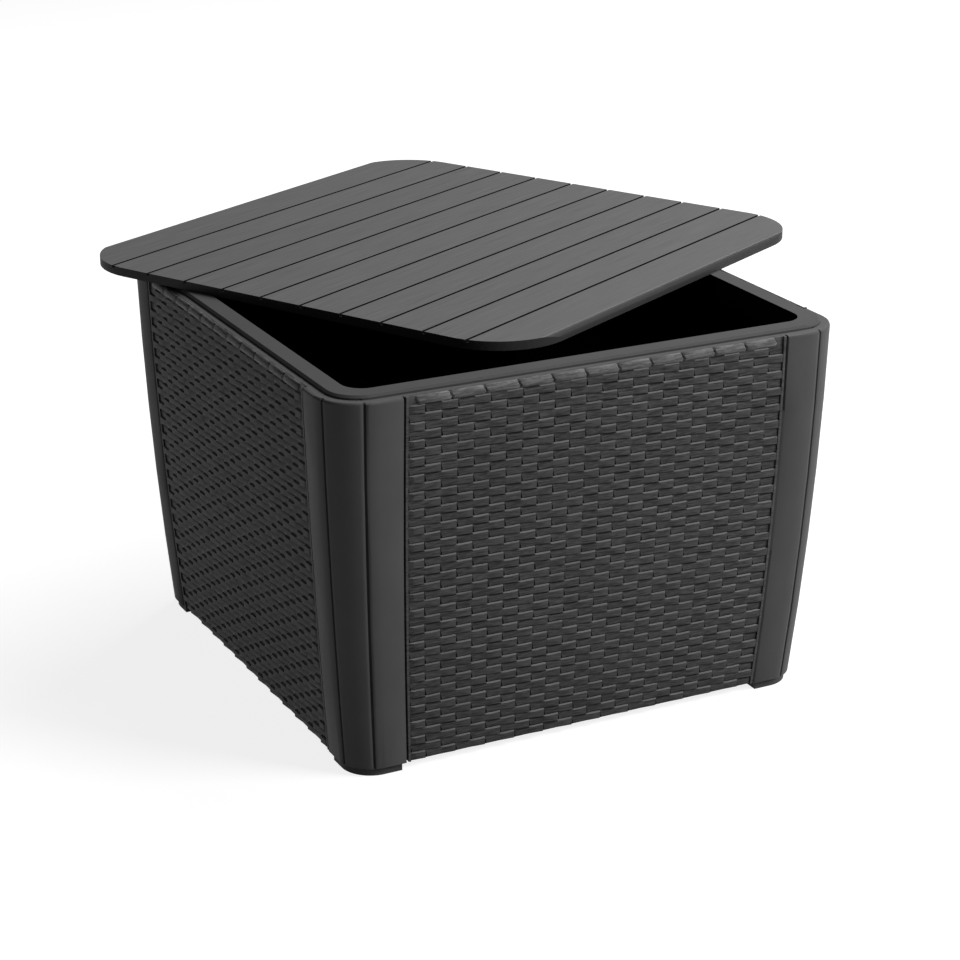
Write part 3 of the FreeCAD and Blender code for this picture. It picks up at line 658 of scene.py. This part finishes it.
resin = add_node(
    lid_resin, "ShaderNodeBsdfPrincipled", {"IOR": 1.49, "Specular IOR Level": 0.14},
    [("Base Color", tone.outputs["Color"]), ("Roughness", sheen.outputs["Result"]),
     ("Normal", bump.outputs["Normal"])])
add_node(lid_resin, "ShaderNodeOutputMaterial", {}, [("Surface", resin.outputs["BSDF"])])
lid = smooth_skin("lid_deck", "slatted_lid", "lid", lid_resin, 13)
# The grooves between the boards are painted near black as shade, and the skirt is painted darker as
# shade.
slat_groove_depth = 3 * mm
outer_strip = 20 * mm
floor_slack = 0.2 * mm
groove_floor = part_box("lid_deck")[1].z - slat_groove_depth
painted_shade_skirt = moulded_resin("painted_shade_skirt_graphite", "#3a3a3a", "#3e3e3e", 0.6, 1.2)
for finish in (painted_shade_black, painted_shade_skirt):
    lid.data.materials.append(finish)
to_lid = Matrix.Rotation(-lid_turn, 3, "Z")
spots = [to_lid @ (point.co - Vector(lid_middle)) for point in lid.data.vertices]
half_width = max(spot.y for spot in spots)
for face in lid.data.polygons:
    spot = to_lid @ (face.center - Vector(lid_middle))
    in_groove = abs(spot.y) < half_width - outer_strip and spot.z > groove_floor - floor_slack
    groove_wall = abs((to_lid @ face.normal).y) > 0.95
    groove_bottom = spot.z < groove_floor + floor_slack and face.normal.z > 0.9
    if in_groove and (groove_wall or groove_bottom):
        face.material_index = 1
    elif face.normal.z < 0.9:
        face.material_index = 2


# Ground: a pale matt studio floor that keeps the object's soft shadow. To the camera, and in gloss, it
# is lifted to white.
floor_lift = 0.84
bpy.ops.object.select_all(action="DESELECT")
bpy.ops.mesh.primitive_plane_add(size=40, location=(0, 0, 0))
ground = bpy.context.object
ground.name = "studio_floor"
pale = blank_material("studio_floor_white")
matt = add_node(pale, "ShaderNodeBsdfDiffuse", {"Color": linear("#a9a9a9")})
ray = add_node(pale, "ShaderNodeLightPath", {})
seen = add_node(
    pale, "ShaderNodeMath", {"operation": "MAXIMUM"},
    [(0, ray.outputs["Is Camera Ray"]), (1, ray.outputs["Is Glossy Ray"])])
shown = add_node(
    pale, "ShaderNodeMath", {"operation": "MAXIMUM"},
    [(0, seen.outputs["Value"]), (1, ray.outputs["Is Transmission Ray"])])
level = add_node(
    pale, "ShaderNodeMath", {"operation": "MULTIPLY", 1: floor_lift}, [(0, shown.outputs["Value"])])
lift = add_node(pale, "ShaderNodeEmission", {}, [("Strength", level.outputs["Value"])])
both = add_node(
    pale, "ShaderNodeAddShader", {}, [(0, matt.outputs["BSDF"]), (1, lift.outputs["Emission"])])
add_node(pale, "ShaderNodeOutputMaterial", {}, [("Surface", both.outputs["Shader"])])
ground.data.materials.append(pale)

# Studio light: a large soft lamp high at the back right, a second one at the front right, and a dim
# even surround.
surround_strength = 0.05
world = bpy.data.worlds.new("studio")
world.use_nodes = True
bpy.context.scene.world = world
world.node_tree.nodes["Background"].inputs["Color"].default_value = (1, 1, 1, 1)
world.node_tree.nodes["Background"].inputs["Strength"].default_value = surround_strength
lamp_aim = Vector((0, 0, 0.25))
for name, spot, size, power in (
    ("back_right", (2.2, 1.2, 3.4), 2.6, 120),
    ("front_right", (1.8, -1.9, 2.1), 1.3, 72),
):
    lamp = bpy.data.lights.new(name, "AREA")
    lamp.size = size
    lamp.energy = power
    holder = bpy.data.objects.new(name, lamp)
    bpy.context.scene.collection.objects.link(holder)
    holder.location = spot
    holder.rotation_euler = (Vector(spot) - lamp_aim).to_track_quat("Z", "Y").to_euler()

# Camera: in front and to the left, looking down at about 21 degrees through a long lens.
view = bpy.data.cameras.new("camera")
view.lens = 95.25
view.sensor_width = 36
holder = bpy.data.objects.new("camera", view)
bpy.context.scene.collection.objects.link(holder)
holder.location = (-1.15565, -2.29138, 1.14909)
holder.rotation_euler = (math.radians(69.4045), 0, math.radians(-26.984))
bpy.context.scene.camera = holder
bpy.context.scene.view_settings.view_transform = "Standard"
